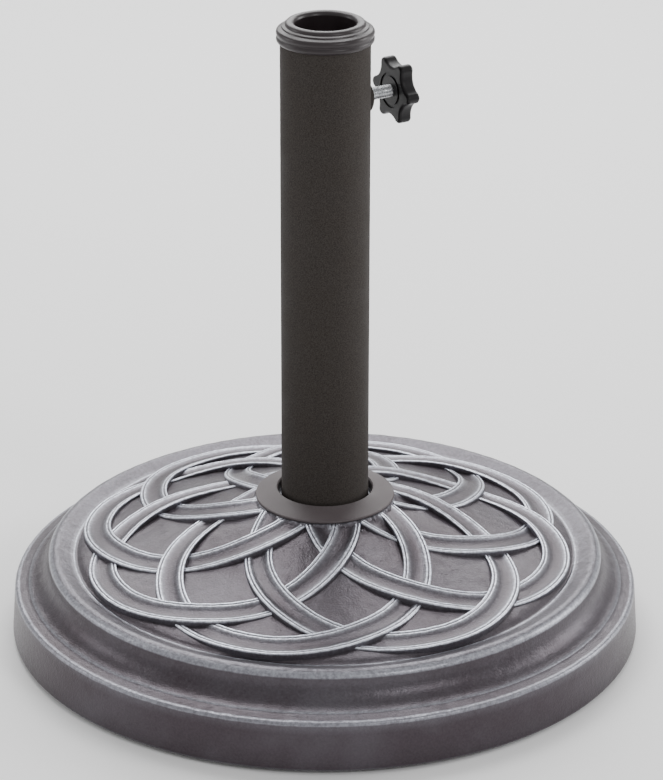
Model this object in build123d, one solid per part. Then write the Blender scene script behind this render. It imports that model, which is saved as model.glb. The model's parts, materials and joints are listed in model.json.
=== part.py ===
"""Parasol base: a concrete-filled cast resin dome with a bolted steel tube, a loose collar, a reducer cap
and a clamp screw with a star knob. Millimetres, +Z up, origin on the ground under the centre of the base."""

import os
from math import acos, atan2, cos, hypot, pi, sin, sqrt

from build123d import *

# ---- base
BASE_RADIUS = 201.0
SHELL_BOTTOM = 2.5  # the feet hold the base this far off the ground
SKIRT_TOP = 31.4
SKIRT_DRAFT = 1.8
SKIRT_EDGE = 2.6  # rounding at the top of the skirt
COVE_FOOT = (189.6, 35.8)
COVE_HEAD = (177.0, 51.4)
RIM_OUTER = (174.8, 54.6)
RIM_CREST = (171.5, 55.7)
RIM_INNER = (161.0, 52.0)
FIELD_EDGE = (157.5, 53.6)
FIELD_MIDDLE = (105.0, 67.0)
FIELD_TOP = (46.0, 86.2)
HUB_RADIUS = 43.0
HUB_TOP = 89.8
SHELL_WALL = 5.0

# ---- foot of the tube
SLEEVE_BORE = 28.2
SLEEVE_WALL = 1.6
SLEEVE_TOP = 87.6
FLOOR_PLATE = (42.0, 4.0)  # radius, thickness
FLOOR_PLATE_TOP = 19.0
BOLT_RECESS = 22.0
BOLT_RADIUS = 5.0  # M10
BOLT_CLEARANCE = 0.5
BOLT_LENGTH = 25.0
BOLT_HEAD = (17.0, 6.4)  # across flats, height
FLAT_WASHER = (12.0, 2.0)  # radius, thickness
SPRING_WASHER = (8.6, 2.5)
FOOT_PLATE = 5.0
WELD_NUT_HEIGHT = 8.0

# ---- tube, collar and cap
TUBE_RADIUS = 27.6
TUBE_WALL = 1.8
TUBE_TOP = 391.0
COLLAR_RADIUS = 44.2
COLLAR_BORE = 30.0
COLLAR_EDGE = 1.9
COLLAR_HEIGHT = 6.1
CAP_BORE = 18.6  # takes a 36 mm pole
CAP_TOP = 404.0
CAP_SLEEVE_BOTTOM = 364.0
CAP_FIT = 0.08  # radial clearance of the sleeve in the tube
CAP_WALL = 1.9
CAP_RIBS = 8

# ---- clamp screw
CLAMP_ANGLE = 31.5  # from +X towards +Y
CLAMP_HEIGHT = 352.1
BOSS_RADIUS = 11.0
BOSS_EDGE = 2.6  # rounding of the boss
BOSS_FACE = 29.4  # distance of the boss's face from the tube's axis
SCREW_BORE = 4.0
SCREW_RADIUS = 3.95  # M8, 0.05 mm clear of its thread
SCREW_END = 24.0
PIN = (2.0, 2.0)  # radius, length of the screw's turned end
PIN_FIT = 0.05
TIP_RADIUS = 3.1
TIP_END = 21.0
TIP_TOP = 23.9
KNOB_BACK = 46.3
KNOB_THICKNESS = 9.0
KNOB_DOME = 1.5
KNOB_LOBES = 6
KNOB_TWIST = 3.0
LOBE_CENTRE = 17.5
LOBE_RADIUS = 3.5
SCALLOP_BOTTOM = 15.6
KNOB_RING = (9.0, 11.0, 0.8)  # groove in the knob's back: radii, depth
KNOB_EDGE = 1.8
SCREW_HEAD = (13.0, 5.0)  # across flats, height

# ---- feet
FEET = 6
FOOT_CIRCLE = 172.0
FOOT_RADIUS = 14.0
STEM = (6.0, 6.0)  # radius, length of the stem in the concrete


def disc(radius, bottom, top):
    """A solid cylinder about the Z axis."""
    return Pos(0, 0, bottom) * Cylinder(radius, top - bottom, align=(Align.CENTER, Align.CENTER, Align.MIN))


def tube(outer, inner, bottom, top):
    return disc(outer, bottom, top) - disc(inner, bottom - 1, top + 1)


def hexagon(across_flats, bottom, top):
    section = RegularPolygon(across_flats / 2, 6, major_radius=False)
    return Pos(0, 0, bottom) * extrude(section, top - bottom)


def spin(edges):
    """Revolves a closed outline about the Z axis. Its points are (radius, height)."""
    return revolve(Rot(90, 0, 0) * make_face(edges), Axis.Z)


def on_clamp_axis(shape):
    """Turns a shape built along +Z from the tube's axis so that it lies along the clamp screw."""
    return Pos(0, 0, CLAMP_HEIGHT) * Rot(0, 0, CLAMP_ANGLE) * Rot(0, 90, 0) * shape


def shell_outline():
    """The outer profile of the base, from the ground at the skirt up to the hub."""
    skirt_radius = BASE_RADIUS - SKIRT_DRAFT
    ledge = (skirt_radius - SKIRT_EDGE, SKIRT_TOP + SKIRT_EDGE)
    elbow = SKIRT_EDGE * (1 - cos(pi / 4))
    arc_middle = (skirt_radius - elbow, ledge[1] - elbow)
    cove_middle = (COVE_HEAD[0] + 3.6, COVE_FOOT[1] + 5.2)
    rim_middle = (COVE_HEAD[0] - 0.5, COVE_HEAD[1] + 2.1)
    crest_middle = (RIM_CREST[0] + 1.9, RIM_CREST[1] - 0.2)
    return [
        Line((BASE_RADIUS, SHELL_BOTTOM), (skirt_radius, SKIRT_TOP)),
        ThreePointArc((skirt_radius, SKIRT_TOP), arc_middle, ledge),
        Line(ledge, (COVE_FOOT[0] + 0.6, ledge[1] + 0.6)),
        Line((COVE_FOOT[0] + 0.6, ledge[1] + 0.6), COVE_FOOT),
        ThreePointArc(COVE_FOOT, cove_middle, COVE_HEAD),
        ThreePointArc(COVE_HEAD, rim_middle, RIM_OUTER),
        ThreePointArc(RIM_OUTER, crest_middle, RIM_CREST),
        Line(RIM_CREST, RIM_INNER),
        Line(RIM_INNER, FIELD_EDGE),
        ThreePointArc(FIELD_EDGE, FIELD_MIDDLE, FIELD_TOP),
        Line(FIELD_TOP, (HUB_RADIUS, HUB_TOP)),
    ]


def inner_points():
    """Corners of the shell's inside, which the concrete fills, from the ground up to the hub."""
    wall = SHELL_WALL
    return [
        (BASE_RADIUS - wall, SHELL_BOTTOM),
        (BASE_RADIUS - SKIRT_DRAFT - wall, SKIRT_TOP),
        (COVE_FOOT[0] - wall, COVE_FOOT[1] - wall),
        (COVE_HEAD[0] - wall, COVE_HEAD[1] - wall),
        (FIELD_EDGE[0], FIELD_EDGE[1] - wall),
        (FIELD_MIDDLE[0], FIELD_MIDDLE[1] - wall),
        (FIELD_TOP[0], FIELD_TOP[1] - wall),
        (HUB_RADIUS - wall, HUB_TOP - wall),
    ]


def resin_shell():
    inside = inner_points()
    hole = SLEEVE_BORE + SLEEVE_WALL
    rest = Polyline(
        (HUB_RADIUS, HUB_TOP),
        (hole, HUB_TOP),
        (hole, HUB_TOP - SHELL_WALL),
        *inside[::-1],
        (BASE_RADIUS, SHELL_BOTTOM),
    )
    return spin(shell_outline() + [rest])


def foot_places():
    return [Rot(0, 0, 360 * i / FEET + 30) * Pos(FOOT_CIRCLE, 0, 0) for i in range(FEET)]


def concrete_ballast():
    hole = SLEEVE_BORE + SLEEVE_WALL
    seat = FLOOR_PLATE_TOP - FLOOR_PLATE[1]
    top = HUB_TOP - SHELL_WALL
    outline = Polyline(
        *inner_points(),
        (hole, top),
        (hole, FLOOR_PLATE_TOP),
        (FLOOR_PLATE[0], FLOOR_PLATE_TOP),
        (FLOOR_PLATE[0], seat),
        (BOLT_RECESS, seat),
        (BOLT_RECESS, SHELL_BOTTOM),
        close=True,
    )
    body = spin([outline])
    for place in foot_places():
        body -= place * disc(STEM[0], SHELL_BOTTOM - 1, SHELL_BOTTOM + STEM[1])
    return body


def foot(place):
    pad = fillet(disc(FOOT_RADIUS, 0, SHELL_BOTTOM).edges().group_by(Axis.Z)[0], 0.8)
    return place * (pad + disc(STEM[0], SHELL_BOTTOM, SHELL_BOTTOM + STEM[1]))


def anchor_stack():
    """The bolt and washers under the tube, and what they clamp, as name to solid."""
    seat = FLOOR_PLATE_TOP - FLOOR_PLATE[1]
    flat_bottom = seat - FLAT_WASHER[1]
    spring_bottom = flat_bottom - SPRING_WASHER[1]
    clearance = BOLT_RADIUS + BOLT_CLEARANCE
    plate_top = FLOOR_PLATE_TOP + FOOT_PLATE
    bore = TUBE_RADIUS - TUBE_WALL
    ring = tube(SPRING_WASHER[0], clearance, spring_bottom, flat_bottom)
    slot_length = SPRING_WASHER[0] - clearance + 2
    split = Box(slot_length, 1.2, 8, align=(Align.MIN, Align.CENTER, Align.CENTER))
    ring -= Pos(clearance - 1, 0, spring_bottom + SPRING_WASHER[1] / 2) * Rot(35, 0, 0) * split
    head = hexagon(BOLT_HEAD[0], spring_bottom - BOLT_HEAD[1], spring_bottom)
    return {
        "socket_floor_plate": tube(FLOOR_PLATE[0], clearance, seat, FLOOR_PLATE_TOP),
        "flat_washer": tube(FLAT_WASHER[0], clearance, flat_bottom, seat),
        "spring_washer": ring,
        "anchor_bolt": head + disc(BOLT_RADIUS, spring_bottom, spring_bottom + BOLT_LENGTH),
        "tube_foot_plate": tube(bore, clearance, FLOOR_PLATE_TOP, plate_top),
        "foot_weld_nut": hexagon(BOLT_HEAD[0], plate_top, plate_top + WELD_NUT_HEIGHT)
        - disc(BOLT_RADIUS, plate_top - 1, plate_top + WELD_NUT_HEIGHT + 1),
    }


def pole_tube():
    body = tube(TUBE_RADIUS, TUBE_RADIUS - TUBE_WALL, FLOOR_PLATE_TOP, TUBE_TOP)
    return body - on_clamp_axis(disc(SCREW_BORE, TUBE_RADIUS - 2 * TUBE_WALL, TUBE_RADIUS + 1))


def collar_ring():
    """A shallow conical washer, rounded at its outer edge."""
    outer = (COLLAR_RADIUS, HUB_TOP + COLLAR_EDGE / 2)
    shoulder = (COLLAR_RADIUS - COLLAR_EDGE / 2, HUB_TOP + COLLAR_EDGE)
    outline = [
        Line((COLLAR_BORE, HUB_TOP), (shoulder[0], HUB_TOP)),
        ThreePointArc((shoulder[0], HUB_TOP), outer, shoulder),
        Line(shoulder, (COLLAR_BORE + 0.8, HUB_TOP + COLLAR_HEIGHT)),
        Line((COLLAR_BORE + 0.8, HUB_TOP + COLLAR_HEIGHT), (COLLAR_BORE, HUB_TOP + COLLAR_HEIGHT - 0.8)),
        Line((COLLAR_BORE, HUB_TOP + COLLAR_HEIGHT - 0.8), (COLLAR_BORE, HUB_TOP)),
    ]
    return spin(outline)


def reducer_cap():
    """The moulded ring on the tube's mouth, with a skirt in the tube and a ribbed inner collar."""
    skirt = TUBE_RADIUS - TUBE_WALL - CAP_FIT
    roof = TUBE_TOP + 2 * CAP_WALL
    low = TUBE_TOP
    crown = [
        Line((CAP_BORE, low), (TUBE_RADIUS, low)),
        ThreePointArc((TUBE_RADIUS, low), (29.8, low + 1.8), (29.2, low + 3.9)),
        Line((29.2, low + 3.9), (29.2, low + 4.6)),
        ThreePointArc((29.2, low + 4.6), (29.9, low + 6.4), (28.6, low + 8.4)),
        Line((28.6, low + 8.4), (26.6, low + 9.2)),
        Line((26.6, low + 9.2), (26.2, low + 10.2)),
        Line((26.2, low + 10.2), (24.6, low + 10.8)),
        ThreePointArc((24.6, low + 10.8), (23.9, CAP_TOP - 0.7), (22.0, CAP_TOP)),
        ThreePointArc((22.0, CAP_TOP), (19.6, CAP_TOP - 0.7), (CAP_BORE, CAP_TOP - 2.4)),
        Line((CAP_BORE, CAP_TOP - 2.4), (CAP_BORE, low)),
    ]
    body = spin(crown)
    body += tube(skirt, skirt - CAP_WALL, CAP_SLEEVE_BOTTOM, roof)
    body += tube(CAP_BORE + CAP_WALL, CAP_BORE, CAP_SLEEVE_BOTTOM, roof)
    rib_length = skirt - CAP_BORE - CAP_WALL
    for i in range(CAP_RIBS):
        rib = Box(rib_length, 1.6, TUBE_TOP - CAP_SLEEVE_BOTTOM, align=(Align.MIN, Align.CENTER, Align.MIN))
        body += Rot(0, 0, 360 * i / CAP_RIBS) * Pos(CAP_BORE + CAP_WALL / 2, 0, CAP_SLEEVE_BOTTOM) * rib
    return body


def clamp_nut():
    """A domed threaded boss, saddled on the tube's wall."""
    boss = disc(BOSS_RADIUS, TUBE_RADIUS - 5, BOSS_FACE)
    boss = fillet(boss.edges().group_by(Axis.Z)[-1], BOSS_EDGE)
    boss -= disc(SCREW_BORE, 0, BOSS_FACE + 1)
    return on_clamp_axis(boss) - disc(TUBE_RADIUS, CLAMP_HEIGHT - 20, CLAMP_HEIGHT + 20)


def knob_outline():
    """Six rounded lobes joined by scallops, each arc tangent to the next."""
    half = pi / KNOB_LOBES
    gap = LOBE_CENTRE**2 + SCALLOP_BOTTOM**2 - 2 * LOBE_CENTRE * SCALLOP_BOTTOM * cos(half) - LOBE_RADIUS**2
    scallop = gap / (2 * (LOBE_RADIUS - SCALLOP_BOTTOM + LOBE_CENTRE * cos(half)))
    far = SCALLOP_BOTTOM + scallop
    reach = sqrt(LOBE_CENTRE**2 + far**2 - 2 * LOBE_CENTRE * far * cos(half))
    turn = acos((LOBE_CENTRE**2 + reach**2 - far**2) / (2 * LOBE_CENTRE * reach))
    meet = (LOBE_CENTRE - LOBE_RADIUS * cos(turn), LOBE_RADIUS * sin(turn))
    radius = hypot(*meet)
    next_meet = 2 * half - atan2(meet[1], meet[0])
    tip = ThreePointArc((meet[0], -meet[1]), (LOBE_CENTRE + LOBE_RADIUS, 0), meet)
    low = (SCALLOP_BOTTOM * cos(half), SCALLOP_BOTTOM * sin(half))
    dip = ThreePointArc(meet, low, (radius * cos(next_meet), radius * sin(next_meet)))
    turns = [Rot(0, 0, 360 * i / KNOB_LOBES) for i in range(KNOB_LOBES)]
    return [place * edge for place in turns for edge in (tip, dip)]


def knob_head(screw):
    """The star knob, with its screw moulded in."""
    head = extrude(make_face(knob_outline()), KNOB_THICKNESS)
    head = fillet(head.edges().group_by(Axis.Z)[-1] + head.edges().group_by(Axis.Z)[0], KNOB_EDGE)
    dome = Pos(0, 0, KNOB_THICKNESS) * Cylinder(9, 2 * KNOB_DOME)
    head += fillet(dome.edges().group_by(Axis.Z)[-1], KNOB_DOME - 0.1)
    head -= tube(KNOB_RING[1], KNOB_RING[0], -1, KNOB_RING[2])
    return on_clamp_axis(Pos(0, 0, KNOB_BACK) * Rot(0, 0, 90 + KNOB_TWIST) * head) - screw


def knob_screw():
    pin = disc(PIN[0], SCREW_END - PIN[1], SCREW_END)
    shank = disc(SCREW_RADIUS, SCREW_END, KNOB_BACK + 1.5)
    head = hexagon(SCREW_HEAD[0], KNOB_BACK + 1.5, KNOB_BACK + 1.5 + SCREW_HEAD[1])
    return on_clamp_axis(pin + shank + head)


def screw_tip():
    """A soft pad that swivels on the end of the clamp screw."""
    pad = disc(TIP_RADIUS, TIP_END, TIP_TOP)
    pad = chamfer(pad.edges().group_by(Axis.Z)[0], 0.4)
    return on_clamp_axis(pad - disc(PIN[0] + PIN_FIT, SCREW_END - PIN[1] - 0.1, TIP_TOP + 1))


def build():
    """Every sub-part, as name to solid."""
    sleeve_outer = SLEEVE_BORE + SLEEVE_WALL
    screw = knob_screw()
    parts = {
        "resin_shell": resin_shell(),
        "concrete_ballast": concrete_ballast(),
        "socket_sleeve": tube(sleeve_outer, SLEEVE_BORE, FLOOR_PLATE_TOP, SLEEVE_TOP),
        **anchor_stack(),
        "pole_tube": pole_tube(),
        "collar_ring": collar_ring(),
        "reducer_cap": reducer_cap(),
        "clamp_nut": clamp_nut(),
        "knob_screw": screw,
        "knob_head": knob_head(screw),
        "screw_tip": screw_tip(),
    }
    for i, place in enumerate(foot_places(), start=1):
        parts[f"foot_{i}"] = foot(place)
    return parts


def main():
    os.makedirs("parts", exist_ok=True)
    for name, shape in build().items():
        export_step(shape, f"parts/{name}.step")


if __name__ == "__main__":
    main()
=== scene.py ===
"""Parasol base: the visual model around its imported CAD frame.

The cast shell gets its interlaced rings, and the clamp screw its thread. Every other part keeps its CAD
shape and gets its finish here. Shapes are in millimetres until a mesh is made. The materials, the lights
and the camera are in metres. Z is up.
"""

import json

from math import cos, pi, radians, sin

import bmesh
import bpy
import numpy as np
from mathutils import Euler, Matrix, Vector, noise


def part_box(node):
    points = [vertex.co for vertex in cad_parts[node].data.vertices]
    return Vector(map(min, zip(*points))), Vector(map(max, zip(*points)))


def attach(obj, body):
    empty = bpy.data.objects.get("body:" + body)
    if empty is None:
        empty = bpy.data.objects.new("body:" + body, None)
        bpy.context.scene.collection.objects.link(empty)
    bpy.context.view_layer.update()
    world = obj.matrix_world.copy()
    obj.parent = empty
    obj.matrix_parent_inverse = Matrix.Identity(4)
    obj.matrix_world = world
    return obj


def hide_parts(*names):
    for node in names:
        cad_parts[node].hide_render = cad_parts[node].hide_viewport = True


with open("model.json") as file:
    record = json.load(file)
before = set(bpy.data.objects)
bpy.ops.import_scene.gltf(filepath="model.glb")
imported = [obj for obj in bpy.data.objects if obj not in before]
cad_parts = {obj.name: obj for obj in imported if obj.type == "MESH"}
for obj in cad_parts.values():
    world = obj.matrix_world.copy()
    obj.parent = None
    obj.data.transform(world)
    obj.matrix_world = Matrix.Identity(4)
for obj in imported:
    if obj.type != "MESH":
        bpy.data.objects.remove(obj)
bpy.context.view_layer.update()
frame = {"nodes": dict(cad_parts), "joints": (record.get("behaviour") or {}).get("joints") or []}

MM = 0.001

# ---- the shell's profile
SHELL_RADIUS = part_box("resin_shell")[1].x / MM
SHELL_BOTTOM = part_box("resin_shell")[0].z / MM
HUB_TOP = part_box("resin_shell")[1].z / MM
HUB_RADIUS = 43.0
SOCKET_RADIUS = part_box("socket_sleeve")[1].x / MM
WALL = 5.0
SKIRT_TOP = 34.0
SKIRT_DRAFT = 2.0
SKIRT_EDGE = 2.6  # rounding at the top of the skirt
COVE_FOOT = (189.6, 35.8)
COVE_HEAD = (177.0, 51.4)
RIM_OUTER = (174.8, 54.6)
RIM_CREST = (171.5, 55.7)
RIM_SLOPE = ((170.4, 55.6), (162.0, 52.6))
RIM_BEAD = ((161.3, 52.3, 0.2), (160.8, 52.4, 0.5), (160.2, 52.3, 0.5))  # the silvered line inside the rim
RIM_GROOVE = ((159.7, 51.9, 0.1), (158.7, 51.9, 0.03))
FIELD_RADIUS = 157.5
FIELD_STEPS = 62
INNER_RADII = (60, 85, 105, 130, FIELD_RADIUS)  # where the inside of the shell follows the field
SHELL_STEPS = 720
RELIEF = 2.6  # height of the rings over the field

# ---- the dome that the beads of the rings lie on
DOME_EDGE = 159.1
DOME_REACH = 112.9  # from the edge in to where the dome meets the hub
DOME_FOOT = 57.0
DOME_RISE = 31.9
DOME_CURVE = 1.25

# ---- the rough patch of casting round the hub
CRUMBS_START = 54.0
CRUMBS_BLEND = 8.0
CRUMB_SIZE = 2.2
CRUMB_HEIGHT = 2.4
HUB_LEVEL_RADIUS = 52.0  # nothing inside this stands above the hub

# ---- the interlaced rings
RINGS = 8
FIRST_RING = radians(254.5)
RING_OFFSET = 72.66
RING_RADIUS = 77.07
BAND_HALF = 8.84
RING_SWEEP = radians(148.0)  # each way from the outermost point of a ring
BAND_STEPS = 395
WEAVE = 1.4  # a band rises this much where it crosses over, and sinks as much where it goes under
CROSSINGS = (0.0, 43.6, 86.8, 128.1, 160.5)  # angles from the outermost point of a ring
COLLAR_UNDERSIDE = HUB_TOP - 0.2
BAND_RISE_RADIUS = 46.0  # inside this the bands stay under the collar
BAND_RISE = 0.35  # how steeply they may rise outside it

# ---- the clamp screw
THREAD_PITCH = 1.25  # M8
THREAD_DEPTH = 0.75
SCREW_RADIUS = 3.95
PIN_RADIUS = 2.0
PIN_LENGTH = 2.0
SCREW_HEAD = (13.0, 5.0)  # across flats, height
SCREW_STEPS = 48
STEPS_PER_PITCH = 12
THREAD_FLANK = 2.6  # steepness of the groove's sides, in depths to a pitch
THREAD_CREST = 0.15  # leaves the crest a little flat
THREAD_LEAD_IN = 1.2  # the thread grows to its full height over this length
THREAD_RUN_OUT = 0.4
NECK_LENGTH = 0.3
END_CAP_RADIUS = 0.4  # the flat face that closes each end at the axis

# ---- camera and floor
LENS = 154.05
SENSOR_WIDTH = 36.0
CAMERA_PLACE = (0.0016, -1.9271, 0.9978)
CAMERA_PITCH = radians(90 - 23.44)  # it looks down by 23.44 degrees
CAMERA_TURN = radians(-0.0735)
CAMERA_ROLL = 0.0019
FLOOR_HALF = 8.0


# ---------------------------------------------------------------- meshes


def band_top(radius):
    """Height of the rings' beads at a distance from the axis."""
    reach = np.clip((DOME_EDGE - radius) / DOME_REACH, 0, 1.05)
    return DOME_FOOT + DOME_RISE * reach**DOME_CURVE


def field_height(radius):
    return band_top(radius) - RELIEF


def roughen(points, size, amount, seed):
    """Moves each point up or down by smooth noise with lumps of a given size."""
    shift = Vector((seed, seed, seed))
    lumps = [noise.noise(Vector(p) / size + shift) for p in points.reshape(-1, 3)]
    return np.array(lumps).reshape(points.shape[:-1]) * amount


def grid_piece(name, points, body, silver=None, wrap_rows=True):
    """A closed surface through rows of points. Each row is a ring of points."""
    rows, cols = points.shape[:2]
    index = np.arange(rows * cols).reshape(rows, cols)
    index = np.hstack([index, index[:, :1]])
    if wrap_rows:
        index = np.vstack([index, index[:1]])
    quads = np.stack([index[:-1, :-1], index[1:, :-1], index[1:, 1:], index[:-1, 1:]], axis=-1)
    faces = quads.reshape(-1, 4).tolist()
    if not wrap_rows:
        faces += [index[0, :-1].tolist(), index[-1, :-1].tolist()]
    mesh = bpy.data.meshes.new(name)
    mesh.from_pydata(points.reshape(-1, 3) * MM, [], faces)
    shape = bmesh.new()
    shape.from_mesh(mesh)
    bmesh.ops.recalc_face_normals(shape, faces=shape.faces)
    shape.to_mesh(mesh)
    shape.free()
    mesh.shade_smooth()
    if silver is not None:
        attribute = mesh.attributes.new("silver", "FLOAT", "POINT")
        attribute.data.foreach_set("value", silver.reshape(-1).astype(np.float32))
    piece = bpy.data.objects.new(name, mesh)
    bpy.context.scene.collection.objects.link(piece)
    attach(piece, body)
    return piece


def arc(start, middle, end, count):
    """Points on the circle through three (x, z) points, from start to end."""
    (ax, az), (bx, bz), (cx, cz) = start, middle, end
    twice_area = 2 * (ax * (bz - cz) + bx * (cz - az) + cx * (az - bz))
    a2, b2, c2 = ax**2 + az**2, bx**2 + bz**2, cx**2 + cz**2
    centre_x = (a2 * (bz - cz) + b2 * (cz - az) + c2 * (az - bz)) / twice_area
    centre_z = (a2 * (cx - bx) + b2 * (ax - cx) + c2 * (bx - ax)) / twice_area
    angles = np.unwrap([np.arctan2(z - centre_z, x - centre_x) for x, z in (start, middle, end)])
    turn = np.linspace(angles[0], angles[2], count)
    radius = np.hypot(ax - centre_x, az - centre_z)
    return [(centre_x + radius * cos(a), centre_z + radius * sin(a)) for a in turn]


def line(start, end, count):
    """Points along a straight line, without its last one."""
    steps = np.linspace(0, 1, count, endpoint=False)
    return [(start[0] + (end[0] - start[0]) * t, start[1] + (end[1] - start[1]) * t) for t in steps]


def with_silver(points, amount):
    return [(x, z, amount) for x, z in points]


def skirt_profile():
    """The skirt and the ledge over it, from the ground up to the cove."""
    skirt = SHELL_RADIUS - SKIRT_DRAFT
    shoulder = (skirt, SKIRT_TOP - SKIRT_EDGE)
    ledge = (skirt - SKIRT_EDGE, SKIRT_TOP)
    foot = arc(
        (SHELL_RADIUS - 1.6, SHELL_BOTTOM),
        (SHELL_RADIUS - 0.4, SHELL_BOTTOM + 0.5),
        (SHELL_RADIUS, SHELL_BOTTOM + 1.8),
        4,
    )
    profile = with_silver(foot, 0.0)
    profile += with_silver(line((SHELL_RADIUS - 0.1, SHELL_BOTTOM + 3.0), shoulder, 5), 0.0)
    profile += [(*shoulder, 0.05)]
    profile += with_silver(arc(shoulder, (skirt - 0.7, SKIRT_TOP - 0.8), ledge, 7)[1:], 0.3)
    ledge_end = (COVE_FOOT[0] + 1.2, COVE_FOOT[1] - 0.6)
    profile += with_silver(line((ledge[0] - 1.0, SKIRT_TOP + 0.15), ledge_end, 3), 0.03)
    return profile


def rim_profile():
    """The cove, the raised rim and the groove inside it."""
    profile = [(COVE_FOOT[0] + 0.7, COVE_FOOT[1] - 0.6, 0.05), (COVE_FOOT[0] + 0.3, COVE_FOOT[1] - 0.3, 0.3)]
    profile += [(*COVE_FOOT, 0.25)]
    profile += with_silver(arc(COVE_FOOT, (COVE_HEAD[0] + 3.8, COVE_FOOT[1] + 5.0), COVE_HEAD, 11)[1:], 0.03)
    profile += with_silver(arc(COVE_HEAD, (176.2, 53.4), RIM_OUTER, 5)[1:], 0.38)
    profile += with_silver(arc(RIM_OUTER, (173.2, 55.4), RIM_CREST, 4)[1:], 0.14)
    profile += with_silver(line(*RIM_SLOPE, 5), 0.1)
    return profile + [*RIM_BEAD, *RIM_GROOVE]


def field_profile():
    """The domed field between the rim and the hub. It dips a little where it meets the rim."""
    radii = np.linspace(FIELD_RADIUS, HUB_RADIUS + 3.0, FIELD_STEPS)
    dip = 1.7 * np.clip((radii - 150) / 8, 0, 1) ** 2
    return with_silver([(r, min(field_height(r), HUB_TOP - 1.0) - d) for r, d in zip(radii, dip)], 0.03)


def inside_profile():
    """The inside of the shell, from the hub down to the ground."""
    points = [(SOCKET_RADIUS, HUB_TOP - WALL), (HUB_RADIUS - WALL, HUB_TOP - WALL)]
    points += [(r, field_height(r) - WALL - 0.6) for r in INNER_RADII]
    points += [(COVE_HEAD[0] - WALL, COVE_HEAD[1] - WALL), (COVE_FOOT[0] - WALL, COVE_FOOT[1] - WALL)]
    points += [(SHELL_RADIUS - SKIRT_DRAFT - WALL, SKIRT_TOP - 6.0), (SHELL_RADIUS - WALL, SHELL_BOTTOM)]
    return with_silver(points, 0.0)


def shell_body():
    """The shell turned about the tube's axis, with the waves and crumbs of a casting on its outside."""
    outer = skirt_profile() + rim_profile() + field_profile()
    hub = [(HUB_RADIUS + 1.5, HUB_TOP - 0.7, 0.1), (HUB_RADIUS, HUB_TOP, 0.1), (SOCKET_RADIUS, HUB_TOP, 0.1)]
    profile = np.array(outer + hub + inside_profile())
    turn = np.linspace(0, 2 * pi, SHELL_STEPS, endpoint=False)
    radius, height, silver = profile[:, 0:1], profile[:, 1:2], profile[:, 2:3]
    points = np.stack([radius * np.cos(turn), radius * np.sin(turn), height + 0 * turn], axis=-1)
    on_dome = (radius > HUB_RADIUS + 1) * (height > HUB_TOP - WALL)
    near_hub = np.clip((CRUMBS_START - radius) / CRUMBS_BLEND, 0, 1) * on_dome
    outside = (height > SHELL_BOTTOM + 3) * (np.arange(len(profile))[:, None] < len(outer))
    crumbs = roughen(points, CRUMB_SIZE, CRUMB_HEIGHT, 3.0) * near_hub
    waves = roughen(points, 7.0, 0.25, 8.0) * outside
    points[..., 2] += crumbs + waves
    levelled = np.minimum(points[..., 2], HUB_TOP)
    points[..., 2] = np.where(radius < HUB_LEVEL_RADIUS, levelled, points[..., 2])
    return grid_piece("shell_body", points, "base", silver + 0 * turn)


def weave_offset(turn):
    """How far a band is lifted at an angle along its ring. The two sides of a ring weave oppositely."""
    knots = np.radians(CROSSINGS)
    values = np.array([0, 1, -1, 1, -1]) * WEAVE
    size = np.abs(turn)
    i = np.clip(np.searchsorted(knots, size, side="right") - 1, 0, len(knots) - 2)
    step = (size - knots[i]) / (knots[i + 1] - knots[i])
    blend = (1 - np.cos(pi * step)) / 2
    return np.sign(turn) * (values[i] + (values[i + 1] - values[i]) * blend)


def band_section():
    """Half of a band's section, from its wall to its middle.

    Each point is (distance from the band's centre-line, height, silver).
    """
    return [
        (BAND_HALF, -3.0, 0.0),
        (BAND_HALF, -1.0, 0.05),
        (BAND_HALF, 0.8, 0.1),
        (BAND_HALF, 1.6, 0.2),
        (8.7, 2.15, 0.6),
        (8.35, 2.5, 0.95),
        (7.9, 2.6, 1.0),
        (7.45, 2.5, 0.75),
        (7.15, 2.2, 0.3),
        (6.95, 1.95, 0.05),
        (6.8, 2.0, 0.1),
        (6.55, 2.25, 0.4),
        (6.2, 2.42, 0.75),
        (5.75, 2.4, 0.7),
        (5.2, 2.15, 0.35),
        (4.5, 1.8, 0.18),
        (3.6, 1.35, 0.08),
        (2.5, 1.05, 0.05),
        (1.3, 0.92, 0.03),
        (0.0, 0.88, 0.03),
    ]


def ring_band(index):
    """One ring of the relief: a beaded, hollow-faced band that passes over and under the others."""
    half = band_section()
    section = np.array([(-s, h, v) for s, h, v in half] + half[-2::-1])
    turn = np.linspace(-RING_SWEEP, RING_SWEEP, BAND_STEPS)[:, None]
    heading = FIRST_RING + index * 2 * pi / RINGS
    reach = RING_RADIUS + section[:, 0]
    x = RING_OFFSET * cos(heading) + reach * np.cos(heading + turn)
    y = RING_OFFSET * sin(heading) + reach * np.sin(heading + turn)
    radius = np.hypot(x, y)
    lift = np.where(section[:, 1] > 0, 1.0, 0.0) * weave_offset(turn)
    z = field_height(radius) + section[:, 1] + lift
    points = np.stack([x, y, z], axis=-1)
    points[..., 2] += roughen(points, 4.0, 0.22, 20.0 + index) * (section[:, 1] > 1.5)
    limit = COLLAR_UNDERSIDE + np.clip(radius - BAND_RISE_RADIUS, 0, None) * BAND_RISE
    points[..., 2] = np.minimum(points[..., 2], limit)
    silver = section[:, 2] + 0 * turn
    return grid_piece(f"ring_band_{index + 1}", points, "base", silver, wrap_rows=False)


def clamp_frame():
    """Placement of shapes built along +Z from the tube's axis, so that they lie along the clamp screw."""
    joint = next(j for j in frame["joints"] if j["name"] == "clamp_turn")
    outward = -Vector(joint["axis"]).normalized()
    side = Vector((0, 0, 1)).cross(outward)
    turned = Matrix((side.cross(outward), side, outward)).transposed()
    height = Vector((0, 0, joint["pos_m"][2] / MM))
    return turned, height


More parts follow.
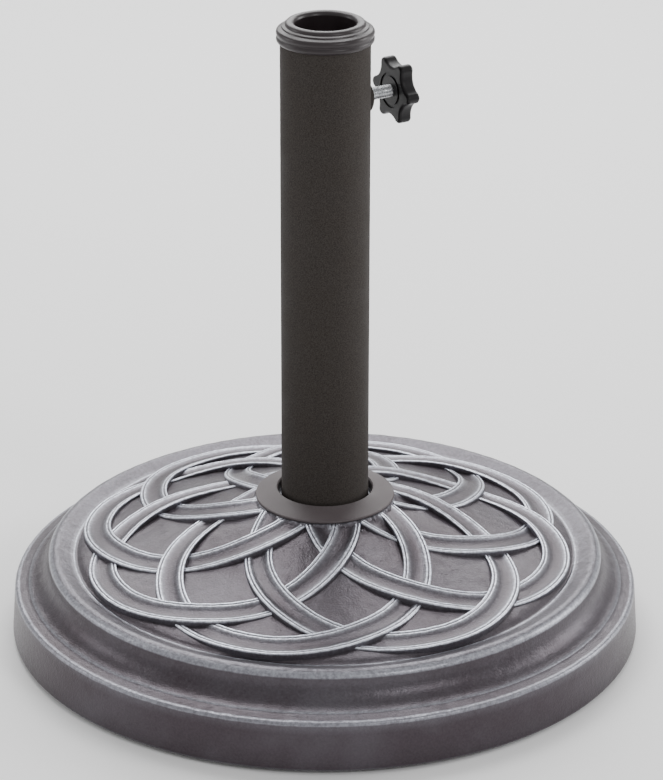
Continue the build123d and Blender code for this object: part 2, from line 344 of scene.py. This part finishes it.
def threaded_screw():
    """The clamp screw: a turned pin, a helical thread and a hexagonal head in the knob."""
    turned, height = clamp_frame()
    along = turned.col[2]
    reaches = [Vector(v.co).dot(along) / MM for v in frame["nodes"]["knob_screw"].data.vertices]
    inner, outer = min(reaches), max(reaches)
    head = outer - SCREW_HEAD[1]
    start = inner + PIN_LENGTH
    turn = np.linspace(0, 2 * pi, SCREW_STEPS, endpoint=False)
    steps = np.arange(start, head - THREAD_RUN_OUT, THREAD_PITCH / STEPS_PER_PITCH)
    phase = (steps[:, None] / THREAD_PITCH - turn / (2 * pi)) % 1.0
    groove = np.clip(np.abs(phase - 0.5) * THREAD_FLANK - THREAD_CREST, 0, 1)
    taper = np.clip((steps - start) / THREAD_LEAD_IN, 0, 1)[:, None]
    thread = SCREW_RADIUS - THREAD_DEPTH * (1 - (1 - groove) * taper)
    flat = pi / 3
    hexagon = SCREW_HEAD[0] / 2 / np.cos((turn + flat / 2) % flat - flat / 2)
    round_row = np.ones(SCREW_STEPS)
    end_cap = END_CAP_RADIUS * round_row
    pin = PIN_RADIUS * round_row
    neck = SCREW_RADIUS * round_row
    rows = [(inner, end_cap), (inner, pin), (start, pin)]
    rows += list(zip(steps, thread))
    rows += [(head - NECK_LENGTH, neck), (head, neck), (head, hexagon), (outer, hexagon), (outer, end_cap)]
    rings = [np.stack([r * np.cos(turn), r * np.sin(turn), z * round_row], axis=-1) for z, r in rows]
    local = np.array(rings)
    points = local @ np.array(turned).T + np.array(height)
    return grid_piece("screw_thread", points, "clamp_knob", wrap_rows=False)


# ---------------------------------------------------------------- finishes


class Finish:
    """A material whose nodes are added one call at a time."""

    def __init__(self, name):
        self.material = bpy.data.materials.new(name)
        self.material.use_nodes = True
        self.tree = self.material.node_tree
        self.shader = self.tree.nodes["Principled BSDF"]
        self.place = self.node("ShaderNodeTexCoord").outputs["Object"]

    def node(self, kind, settings=None, **inputs):
        made = self.tree.nodes.new(kind)
        for key, value in (settings or {}).items():
            setattr(made, key, value)
        for key, value in inputs.items():
            self.set(made.inputs[key.replace("_", " ")], value)
        return made

    def set(self, socket, value):
        if isinstance(value, bpy.types.NodeSocket):
            self.tree.links.new(value, socket)
        elif isinstance(value, tuple) and len(value) == 3 and len(socket.default_value) == 4:
            socket.default_value = (*value, 1.0)
        else:
            socket.default_value = value

    def noise(self, per_metre, detail=4.0, roughness=0.55):
        made = self.node(
            "ShaderNodeTexNoise",
            Vector=self.place,
            Scale=per_metre,
            Detail=detail,
            Roughness=roughness,
        )
        return made.outputs["Fac"]

    def spread(self, value, low, high, start=0.0, end=1.0):
        """Stretches the part of a value between low and high over start to end."""
        made = self.node("ShaderNodeMapRange", Value=value)
        for key, number in (("From Min", low), ("From Max", high), ("To Min", start), ("To Max", end)):
            made.inputs[key].default_value = number
        return made.outputs["Result"]

    def maths(self, operation, a, b):
        made = self.node("ShaderNodeMath", {"operation": operation})
        self.set(made.inputs[0], a)
        self.set(made.inputs[1], b)
        return made.outputs[0]

    def mix(self, share, a, b):
        made = self.node("ShaderNodeMix", {"data_type": "RGBA"})
        self.set(made.inputs["Factor"], share)
        self.set(made.inputs["A"], a)
        self.set(made.inputs["B"], b)
        return made.outputs["Result"]

    def edges(self):
        """1 on convex edges, 0 on flat and hollow places."""
        pointiness = self.node("ShaderNodeNewGeometry").outputs["Pointiness"]
        return self.spread(pointiness, 0.52, 0.6)

    def bump(self, height, distance, strength=1.0, below=None):
        made = self.node("ShaderNodeBump", Height=height, Distance=distance, Strength=strength)
        if below is not None:
            self.set(made.inputs["Normal"], below)
        return made.outputs["Normal"]

    def use(self, **inputs):
        for key, value in inputs.items():
            self.set(self.shader.inputs[key.replace("_", " ")], value)
        return self.material


def cast_resin():
    """Dark gunmetal paint on a hammered casting, with silver brushed over the raised work."""
    f = Finish("cast_resin_gunmetal")
    silver = f.node("ShaderNodeAttribute", {"attribute_name": "silver"}).outputs["Fac"]
    grain = f.noise(750.0, 3.0)
    lumps = f.noise(240.0, 4.0)
    clouds = f.noise(18.0, 3.0)
    specks = f.spread(f.noise(420.0, 5.0, 0.7), 0.38, 0.62)
    worn = f.maths("MULTIPLY", silver, f.spread(specks, 0.0, 1.0, 0.6, 1.2))
    worn = f.maths("ADD", worn, f.maths("MULTIPLY", f.edges(), 0.3))
    worn = f.maths("ADD", worn, f.spread(clouds, 0.3, 0.7, -0.02, 0.03))
    worn = f.maths("MAXIMUM", f.maths("MINIMUM", worn, 1.0), 0.0)
    paint = f.mix(f.spread(grain, 0.3, 0.7), (0.042, 0.032, 0.039), (0.060, 0.047, 0.056))
    colour = f.mix(worn, paint, (0.74, 0.77, 0.86))
    normal = f.bump(grain, 0.00025, 0.8)
    normal = f.bump(lumps, 0.0004, 0.5, normal)
    return f.use(
        Base_Color=colour,
        Metallic=f.spread(worn, 0, 1, 0.6, 0.9),
        Roughness=f.spread(grain, 0.3, 0.7, 0.28, 0.42),
        Normal=normal,
    )


def coated(name, dark, light, roughness, grain, relief, wear, shine=0.5):
    """A painted or moulded surface: mottled colour, fine grain and paler edges."""
    f = Finish(name)
    clouds = f.noise(45.0, 4.0)
    fine = f.noise(grain, 3.0)
    colour = f.mix(f.spread(clouds, 0.3, 0.7), dark, light)
    rubbed = f.maths("MULTIPLY", f.edges(), f.spread(fine, 0.35, 0.6))
    colour = f.mix(f.maths("MULTIPLY", rubbed, 0.6), colour, wear)
    return f.use(
        Base_Color=colour,
        Specular_IOR_Level=shine,
        Roughness=f.spread(clouds, 0.3, 0.7, roughness - 0.05, roughness + 0.07),
        Normal=f.bump(fine, relief),
    )


def zinc_steel():
    """Zinc plate: bright, with spangled patches and fine scratches."""
    f = Finish("zinc_steel_plate")
    patches = f.noise(500.0, 3.0)
    scratches = f.noise(2500.0, 2.0)
    colour = f.mix(f.spread(patches, 0.35, 0.65), (0.52, 0.53, 0.55), (0.78, 0.79, 0.80))
    return f.use(
        Base_Color=colour,
        Metallic=1.0,
        Roughness=f.spread(scratches, 0.3, 0.7, 0.2, 0.36),
        Normal=f.bump(scratches, 0.00003),
    )


def concrete():
    """Cast concrete: cement with sand, pores and pale aggregate."""
    f = Finish("concrete_fill")
    sand = f.noise(1200.0, 3.0)
    clouds = f.noise(30.0, 5.0)
    cells = f.node("ShaderNodeTexVoronoi", Vector=f.place, Scale=160.0).outputs["Distance"]
    stones = f.spread(cells, 0.0, 0.25, 1.0, 0.0)
    colour = f.mix(f.spread(clouds, 0.3, 0.7), (0.26, 0.25, 0.235), (0.40, 0.385, 0.36))
    colour = f.mix(f.maths("MULTIPLY", stones, 0.35), colour, (0.55, 0.53, 0.49))
    normal = f.bump(sand, 0.0003)
    return f.use(
        Base_Color=colour,
        Roughness=f.spread(sand, 0.3, 0.7, 0.8, 0.95),
        Normal=f.bump(cells, 0.0004, 0.5, normal),
    )


def dress(names, material):
    """Gives CAD nodes a finish."""
    for name in names:
        mesh = frame["nodes"][name].data
        mesh.materials.clear()
        mesh.materials.append(material)


def finishes():
    powder = coated("powder_coat_brown", (0.022, 0.018, 0.016), (0.026, 0.021, 0.018), 0.74, 1500.0,
                    0.00004, (0.06, 0.052, 0.047), 0.2)
    collar = coated("collar_plastic_brown", (0.070, 0.057, 0.060), (0.080, 0.066, 0.069), 0.5, 1100.0,
                    0.00005, (0.12, 0.11, 0.11), 0.4)
    cap = coated("cap_plastic_brown", (0.018, 0.013, 0.014), (0.026, 0.019, 0.021), 0.34, 900.0, 0.00004,
                 (0.08, 0.07, 0.07), 0.45)
    knob = coated("knob_plastic_black", (0.006, 0.005, 0.006), (0.009, 0.008, 0.009), 0.36, 800.0, 0.00003,
                  (0.03, 0.03, 0.03), 0.25)
    nylon = coated("nylon_natural", (0.60, 0.58, 0.52), (0.68, 0.66, 0.60), 0.42, 900.0, 0.00003,
                   (0.75, 0.73, 0.68))
    rubber = coated("rubber_black", (0.018, 0.018, 0.018), (0.03, 0.03, 0.029), 0.8, 700.0, 0.0001,
                    (0.07, 0.07, 0.07))
    zinc = zinc_steel()
    dress(["pole_tube", "clamp_nut"], powder)
    dress(["collar_ring"], collar)
    dress(["reducer_cap"], cap)
    dress(["knob_head"], knob)
    dress(["screw_tip"], nylon)
    dress([f"foot_{i}" for i in range(1, 7)], rubber)
    dress(["concrete_ballast"], concrete())
    dress(["socket_sleeve", "socket_floor_plate", "flat_washer", "spring_washer"], zinc)
    dress(["anchor_bolt", "tube_foot_plate", "foot_weld_nut"], zinc)
    return cast_resin(), zinc


# ---------------------------------------------------------------- studio


def area_light(name, place, target, size, power):
    """A soft box at a place, facing a target. Size is (width, height)."""
    light = bpy.data.lights.new(name, "AREA")
    light.shape = "RECTANGLE"
    light.size, light.size_y = size
    light.energy = power
    lamp = bpy.data.objects.new(name, light)
    lamp.location = place
    lamp.rotation_euler = (Vector(target) - Vector(place)).to_track_quat("-Z", "Y").to_euler()
    bpy.context.scene.collection.objects.link(lamp)


def floor():
    half = FLOOR_HALF
    corners = [(-half, -half, 0), (half, -half, 0), (half, half, 0), (-half, half, 0)]
    mesh = bpy.data.meshes.new("floor")
    mesh.from_pydata(corners, [], [(0, 1, 2, 3)])
    ground = bpy.data.objects.new("floor", mesh)
    bpy.context.scene.collection.objects.link(ground)
    f = Finish("floor_white")
    mesh.materials.append(f.use(Base_Color=(0.94, 0.94, 0.94), Roughness=0.9))


def studio():
    world = bpy.data.worlds.new("studio")
    bpy.context.scene.world = world
    world.use_nodes = True
    background = world.node_tree.nodes["Background"]
    background.inputs["Color"].default_value = (1.0, 1.0, 1.0, 1.0)
    background.inputs["Strength"].default_value = 0.66
    area_light("back_box", (0.0, 1.9, 1.3), (0, 0, 0.05), (2.2, 0.7), 28)
    area_light("top_box", (-0.15, 1.0, 2.0), (0, 0, 0), (1.6, 0.7), 30)
    area_light("right_box", (1.9, 0.5, 0.8), (0, 0, 0.2), (0.7, 1.2), 18)
    area_light("left_box", (-2.1, 0.3, 0.9), (0, 0, 0.1), (0.5, 1.0), 7)
    area_light("front_box", (1.3, -1.6, 1.5), (0.05, -0.15, 0.05), (0.35, 0.35), 9)


def camera():
    lens = bpy.data.cameras.new("camera")
    lens.lens = LENS
    lens.sensor_width = SENSOR_WIDTH
    view = bpy.data.objects.new("camera", lens)
    aim = Euler((CAMERA_PITCH, 0, CAMERA_TURN)).to_matrix()
    roll = Matrix.Rotation(CAMERA_ROLL, 3, "Z")
    view.matrix_world = Matrix.Translation(CAMERA_PLACE) @ (aim @ roll).to_4x4()
    bpy.context.scene.collection.objects.link(view)
    bpy.context.scene.camera = view


def main():
    resin, zinc = finishes()
    pieces = [shell_body()]
    pieces += [ring_band(i) for i in range(RINGS)]
    for piece in pieces:
        piece.data.materials.append(resin)
        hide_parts("resin_shell")
    screw = threaded_screw()
    screw.data.materials.append(zinc)
    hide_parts("knob_screw")
    floor()
    studio()
    camera()


main()
